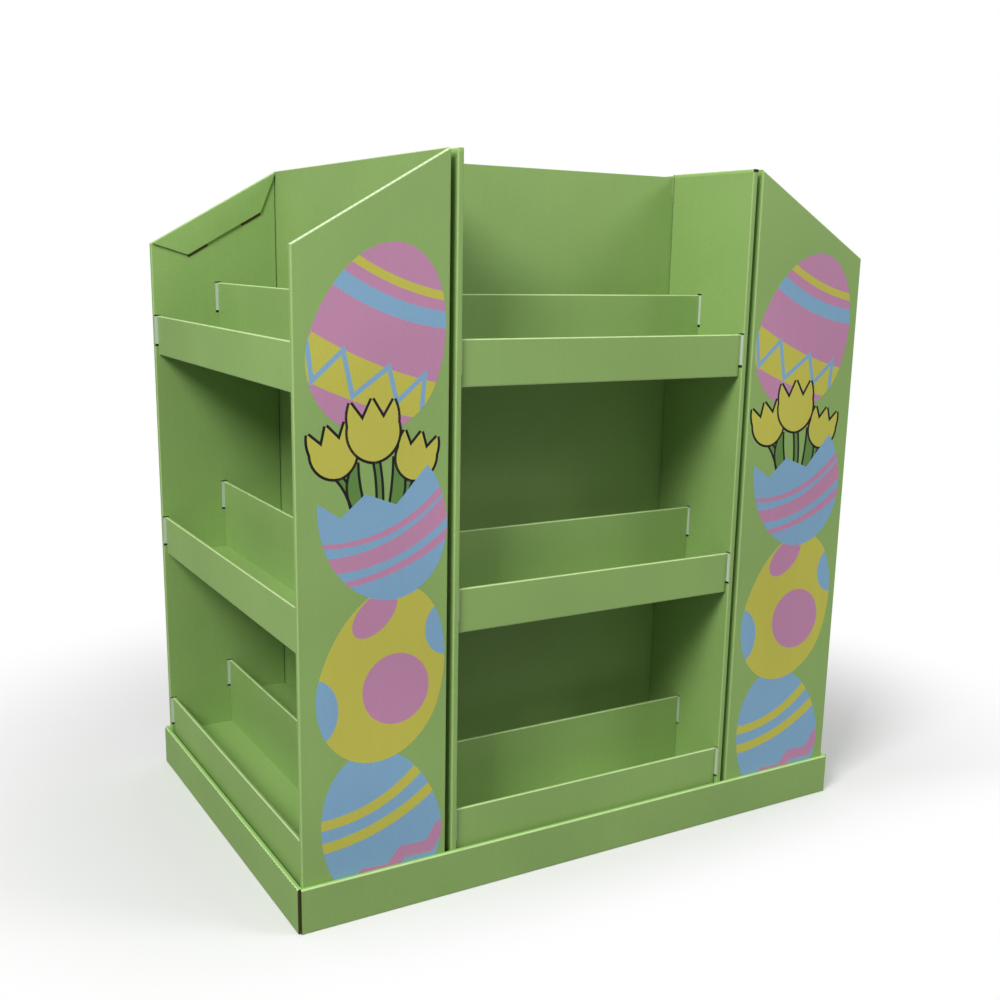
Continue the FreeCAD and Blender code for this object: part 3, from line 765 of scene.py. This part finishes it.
# Floor and light
# A pale studio floor that runs into a white background, one broad lamp high on the left and a weaker
# one on the right. The white background is only what the camera sees, and gives no light.
SEEN_WHITE = (1.0, 1.0, 1.0, 1.0)
FLOOR_WHITE = (0.77, 0.77, 0.77, 1.0)
FLOOR_BOUNCE = (0.25, 0.25, 0.25, 1.0)
SHADOW_REACH = 0.85
WHITE_REACH = 1.6
FRONT_SHADOW_REACH = 0.38
FRONT_WHITE_REACH = 0.66
HALF_FLOOR = 30.0


def see_white(tree, shader):
    """The floor as the camera sees it: pale at the stand's ends, with its shadow, and white in front
    and further out. To all other rays it is dull, so that it throws little light into the shelves."""
    seen = tree.nodes.new("ShaderNodeLightPath").outputs["Is Camera Ray"]
    place = tree.nodes.new("ShaderNodeTexCoord").outputs["Object"]
    distance = node(tree, "ShaderNodeVectorMath", {0: place}, operation="LENGTH").outputs["Value"]
    white = node(tree, "ShaderNodeEmission", {"Color": SEEN_WHITE, "Strength": 1.0})
    far = ramp(tree, distance, SHADOW_REACH, WHITE_REACH)
    ahead = maths(tree, "MULTIPLY", node(tree, "ShaderNodeSeparateXYZ", {0: place}).outputs[1], -1.0)
    front = ramp(tree, ahead, FRONT_SHADOW_REACH, FRONT_WHITE_REACH)
    clear = maths(tree, "MAXIMUM", far, front)
    shown = node(tree, "ShaderNodeMixShader", {0: clear, 1: shader, 2: white.outputs[0]})
    dull = node(tree, "ShaderNodeBsdfDiffuse", {"Color": FLOOR_BOUNCE})
    floor_mix = node(tree, "ShaderNodeMixShader", {0: seen, 1: dull.outputs[0], 2: shown.outputs[0]})
    return floor_mix.outputs[0]


floor_mesh = bpy.data.meshes.new("floor")
floor_mesh.from_pydata([(-HALF_FLOOR, -HALF_FLOOR, 0), (HALF_FLOOR, -HALF_FLOOR, 0),
                        (HALF_FLOOR, HALF_FLOOR, 0), (-HALF_FLOOR, HALF_FLOOR, 0)], [], [(0, 1, 2, 3)])
floor = bpy.data.objects.new("floor", floor_mesh)
bpy.context.collection.objects.link(floor)
floor_paint = bpy.data.materials.new("floor")
floor_paint.use_nodes = True
floor_tree = floor_paint.node_tree
floor_shader = floor_tree.nodes["Principled BSDF"]
floor_shader.inputs["Base Color"].default_value = FLOOR_WHITE
floor_shader.inputs["Roughness"].default_value = 0.9
floor_shader.inputs["Specular IOR Level"].default_value = 0.0
join(floor_tree, see_white(floor_tree, floor_shader.outputs[0]),
     floor_tree.nodes["Material Output"].inputs["Surface"])
floor_mesh.materials.append(floor_paint)

WORLD_TOP = 0.85
WORLD_HORIZON = 0.08
LAMP_WIDTH = 2.0
LAMP_AIM = (0.0, 0.0, 0.6)
world = bpy.data.worlds.new("studio")
bpy.context.scene.world = world
world.use_nodes = True
sky = world.node_tree
sky_place = sky.nodes.new("ShaderNodeTexCoord").outputs["Generated"]
sky_height = node(sky, "ShaderNodeSeparateXYZ", {0: sky_place}).outputs[2]
sky_light = sky.nodes["Background"]
sky_light.inputs["Color"].default_value = SEEN_WHITE
join(sky, ramp(sky, sky_height, 0.0, 0.9, WORLD_HORIZON, WORLD_TOP), sky_light.inputs["Strength"])
seen_sky = node(sky, "ShaderNodeBackground", {"Color": SEEN_WHITE, "Strength": 1.0})
camera_ray = sky.nodes.new("ShaderNodeLightPath").outputs["Is Camera Ray"]
sky_mix = node(sky, "ShaderNodeMixShader",
               {0: camera_ray, 1: sky_light.outputs[0], 2: seen_sky.outputs[0]})
join(sky, sky_mix.outputs[0], sky.nodes["World Output"].inputs["Surface"])


def add_lamp(name, place, watts):
    """A square soft lamp that points at the middle of the stand."""
    lamp = bpy.data.objects.new(name, bpy.data.lights.new(name, "AREA"))
    lamp.data.size = LAMP_WIDTH
    lamp.data.energy = watts
    lamp.location = place
    aim = Vector(LAMP_AIM) - lamp.location
    lamp.rotation_euler = aim.to_track_quat("-Z", "Y").to_euler()
    bpy.context.collection.objects.link(lamp)


add_lamp("left lamp", (-3.9, -2.4, 4.4), 255)
add_lamp("right lamp", (3.6, -3.2, 4.0), 80)

view = bpy.context.scene.view_settings
view.view_transform = "Standard"
